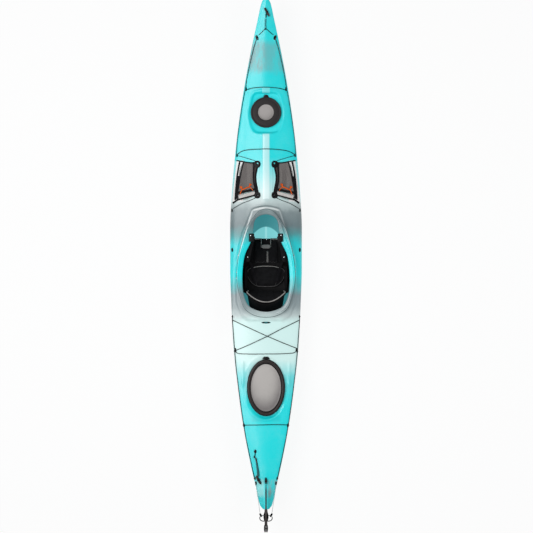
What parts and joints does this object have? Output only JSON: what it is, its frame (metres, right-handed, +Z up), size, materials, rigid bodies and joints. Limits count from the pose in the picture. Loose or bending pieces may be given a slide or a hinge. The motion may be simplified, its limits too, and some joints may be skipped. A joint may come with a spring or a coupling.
{
  "type": "sea kayak",
  "caption": "Touring sea kayak with a moulded hull, keyhole cockpit with seat and braces, round and oval hatches, deck lines, mesh deck pockets and a stern rudder.",
  "frame": {"origin": "on the flat of the keel at mid-length, on the centreline", "axes": "+X to the bow, +Y to port, +Z up"},
  "size_m": [4.456, 0.605, 0.421],
  "materials": {
    "shell": "moulded polyethylene, glossy, cyan fading to grey and white",
    "foam": "closed-cell foam",
    "hatch_rubber": "matt black rubber",
    "brown_rubber": "matt brown-grey rubber",
    "grey_cover": "matt grey plastic",
    "black_plastic": "matt black plastic",
    "black_cord": "black braided cord",
    "seat_fabric": "black padded fabric with grey piping",
    "pocket_mesh": "grey open mesh",
    "webbing": "black woven webbing",
    "orange_cord": "orange cord",
    "steel": "stainless steel",
    "alloy": "anodised alloy",
    "yoke_grey": "grey moulded plastic",
    "blade_plastic": "dark moulded plastic"
  },
  "bodies": {
    "root": {"hull": "shell", "front_bulkhead": "foam", "rear_bulkhead": "foam", "front_hatch_tether": "black_plastic", "rear_hatch_tether": "black_plastic", "seat_pan": "black_plastic", "seat_cushion": "seat_fabric", "front_bungee": "black_cord", "middle_bungee": "black_cord", "cross_bungee_under": "black_cord", "cross_bungee_over": "black_cord", "rear_bungee": "black_cord", "aft_bungee": "black_cord", "bow_bungee": "black_cord", "bow_toggle_cord": "black_cord", "stern_toggle_fitting": "black_plastic", "rear_deck_eyelet": "black_plastic", "rudder_bracket": "steel", "rudder_chock": "black_plastic", "port_thigh_brace": "seat_fabric", "port_foot_rail": "alloy", "port_front_line": "black_cord", "port_rear_line": "black_cord", "port_pocket_frame": "webbing", "port_pocket_panel": "pocket_mesh", "port_pocket_cord": "black_cord", "port_pocket_pull": "orange_cord", "port_side_fitting": "black_plastic", "port_steering_cable": "steel", "port_seat_strap": "webbing", "starboard_thigh_brace": "seat_fabric", "starboard_foot_rail": "alloy", "starboard_front_line": "black_cord", "starboard_rear_line": "black_cord", "starboard_pocket_frame": "webbing", "starboard_pocket_panel": "pocket_mesh", "starboard_pocket_cord": "black_cord", "starboard_pocket_pull": "orange_cord", "starboard_side_fitting": "black_plastic", "starboard_steering_cable": "steel", "starboard_seat_strap": "webbing"},
    "front_hatch": {"front_hatch_cover": "hatch_rubber", "front_hatch_disc": "grey_cover"},
    "rear_hatch": {"rear_hatch_rim": "brown_rubber", "rear_hatch_lid": "grey_cover"},
    "leg_rest": {"leg_lifter": "seat_fabric", "lifter_handle": "yoke_grey"},
    "seat_back": {"seat_back_frame": "black_plastic", "seat_back_cushion": "seat_fabric"},
    "port_knob": {"port_brace_knob": "steel"},
    "starboard_knob": {"starboard_brace_knob": "steel"},
    "port_pedal": {"port_foot_pedal": "black_plastic"},
    "starboard_pedal": {"starboard_foot_pedal": "black_plastic"},
    "rudder_head": {"rudder_yoke": "yoke_grey", "rudder_blade_pin": "steel"},
    "blade": {"rudder_blade": "blade_plastic"},
    "bow_handle": {"bow_toggle": "brown_rubber"},
    "stern_handle": {"stern_toggle": "brown_rubber", "stern_toggle_strap": "webbing"}
  },
  "joints": [
    {"name": "front_hatch_lift", "type": "slide", "parent": "root", "child": "front_hatch", "axis": [0, 0, 1], "range_m": [0, 0.12]},
    {"name": "rear_hatch_lift", "type": "slide", "parent": "root", "child": "rear_hatch", "axis": [0, 0, 1], "range_m": [0, 0.12]},
    {"name": "leg_rest_hinge", "type": "hinge", "parent": "root", "child": "leg_rest", "pos_m": [-0.076, 0, 0.058], "axis": [0, -1, 0], "range_deg": [0, 20]},
    {"name": "seat_back_hinge", "type": "hinge", "parent": "root", "child": "seat_back", "pos_m": [-0.335, 0, 0.0653], "axis": [0, 1, 0], "range_deg": [-4, 20]},
    {"name": "port_knob_turn", "type": "hinge", "parent": "root", "child": "port_knob", "pos_m": [-0.025, 0.152, 0.295], "axis": [0, 0, 1], "range_deg": [0, 180]},
    {"name": "starboard_knob_turn", "type": "hinge", "parent": "root", "child": "starboard_knob", "pos_m": [-0.025, -0.152, 0.295], "axis": [0, 0, 1], "range_deg": [0, 180]},
    {"name": "rudder_steer", "type": "hinge", "parent": "root", "child": "rudder_head", "pos_m": [-2.16, 0, 0.3], "axis": [0, 0, 1], "range_deg": [-35, 35], "deforming": ["port_steering_cable", "starboard_steering_cable"]},
    {"name": "port_pedal_slide", "type": "slide", "parent": "root", "child": "port_pedal", "axis": [0.9953, -0.0972, 0], "range_m": [-0.035, 0.035]},
    {"name": "starboard_pedal_slide", "type": "slide", "parent": "root", "child": "starboard_pedal", "axis": [0.9953, 0.0972, 0], "range_m": [-0.035, 0.035]},
    {"name": "rudder_blade_deploy", "type": "hinge", "parent": "rudder_head", "child": "blade", "pos_m": [-2.286, 0, 0.352], "axis": [0, -1, 0], "range_deg": [0, 250]},
    {"name": "bow_toggle_lift", "type": "hinge", "parent": "root", "child": "bow_handle", "pos_m": [1.964, 0, 0.386], "axis": [0, -1, 0], "range_deg": [0, 60], "deforming": ["bow_toggle_cord"]},
    {"name": "stern_toggle_lift", "type": "hinge", "parent": "root", "child": "stern_handle", "pos_m": [-1.6622, 0.092, 0.284], "axis": [0, 1, 0], "range_deg": [0, 60]}
  ],
  "couplings": [
    {"joint": "port_pedal_slide", "follows": "rudder_steer", "m_per_rad": -0.05},
    {"joint": "starboard_pedal_slide", "follows": "rudder_steer", "m_per_rad": 0.05}
  ]
}
